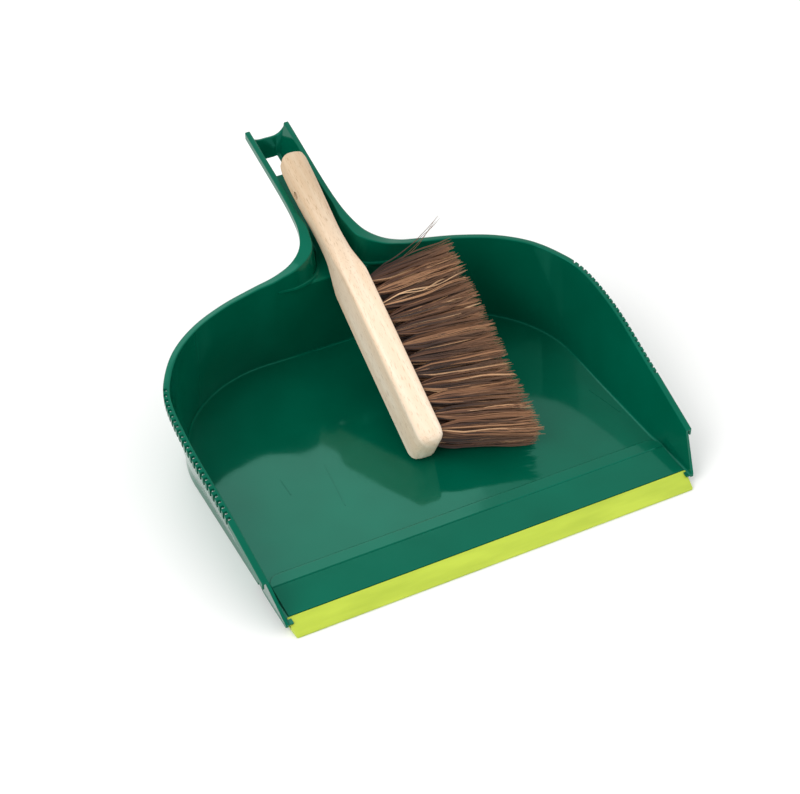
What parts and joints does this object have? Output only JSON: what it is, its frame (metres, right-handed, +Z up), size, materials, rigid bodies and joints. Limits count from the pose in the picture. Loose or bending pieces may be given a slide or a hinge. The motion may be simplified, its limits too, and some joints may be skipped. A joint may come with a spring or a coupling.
{
  "type": "dustpan and brush",
  "caption": "Deep open dustpan with a combed rim, soft front lip and hollow upturned handle, with a wooden hand brush of long soft bristles lying in it.",
  "frame": {"origin": "on the surface the pan stands on, under the centre of the whole object's box", "axes": "+Z up, +Y from the soft lip towards the end of the handle, +X to the right of a person who stands at the lip and looks along the handle"},
  "size_m": [0.368, 0.408, 0.1556],
  "materials": {
    "green_polypropylene": "injection moulded, polished, deep green",
    "lime_soft_lip": "soft thermoplastic rubber, satin, yellow-green",
    "beech": "sanded pale wood, unvarnished",
    "brown_bristle": "long soft bristles, brown with tan tips"
  },
  "bodies": {
    "pan": {"pan_moulding": "green_polypropylene", "lip_strip": "lime_soft_lip"},
    "brush": {"brush_stock": "beech", "tuft_1_01": "brown_bristle", "tuft_1_02": "brown_bristle", "tuft_1_03": "brown_bristle", "tuft_1_04": "brown_bristle", "tuft_1_05": "brown_bristle", "tuft_1_06": "brown_bristle", "tuft_1_07": "brown_bristle", "tuft_1_08": "brown_bristle", "tuft_1_09": "brown_bristle", "tuft_1_10": "brown_bristle", "tuft_1_11": "brown_bristle", "tuft_1_12": "brown_bristle", "tuft_2_01": "brown_bristle", "tuft_2_02": "brown_bristle", "tuft_2_03": "brown_bristle", "tuft_2_04": "brown_bristle", "tuft_2_05": "brown_bristle", "tuft_2_06": "brown_bristle", "tuft_2_07": "brown_bristle", "tuft_2_08": "brown_bristle", "tuft_2_09": "brown_bristle", "tuft_2_10": "brown_bristle", "tuft_2_11": "brown_bristle", "tuft_2_12": "brown_bristle", "tuft_3_01": "brown_bristle", "tuft_3_02": "brown_bristle", "tuft_3_03": "brown_bristle", "tuft_3_04": "brown_bristle", "tuft_3_05": "brown_bristle", "tuft_3_06": "brown_bristle", "tuft_3_07": "brown_bristle", "tuft_3_08": "brown_bristle", "tuft_3_09": "brown_bristle", "tuft_3_10": "brown_bristle", "tuft_3_11": "brown_bristle", "tuft_3_12": "brown_bristle", "tuft_4_01": "brown_bristle", "tuft_4_02": "brown_bristle", "tuft_4_03": "brown_bristle", "tuft_4_04": "brown_bristle", "tuft_4_05": "brown_bristle", "tuft_4_06": "brown_bristle", "tuft_4_07": "brown_bristle", "tuft_4_08": "brown_bristle", "tuft_4_09": "brown_bristle", "tuft_4_10": "brown_bristle", "tuft_4_11": "brown_bristle", "tuft_4_12": "brown_bristle"}
  },
  "joints": [
    {"name": "brush_lift", "type": "slide", "parent": "pan", "child": "brush", "axis": [0, 0, 1], "range_m": [0, 0.2]}
  ]
}
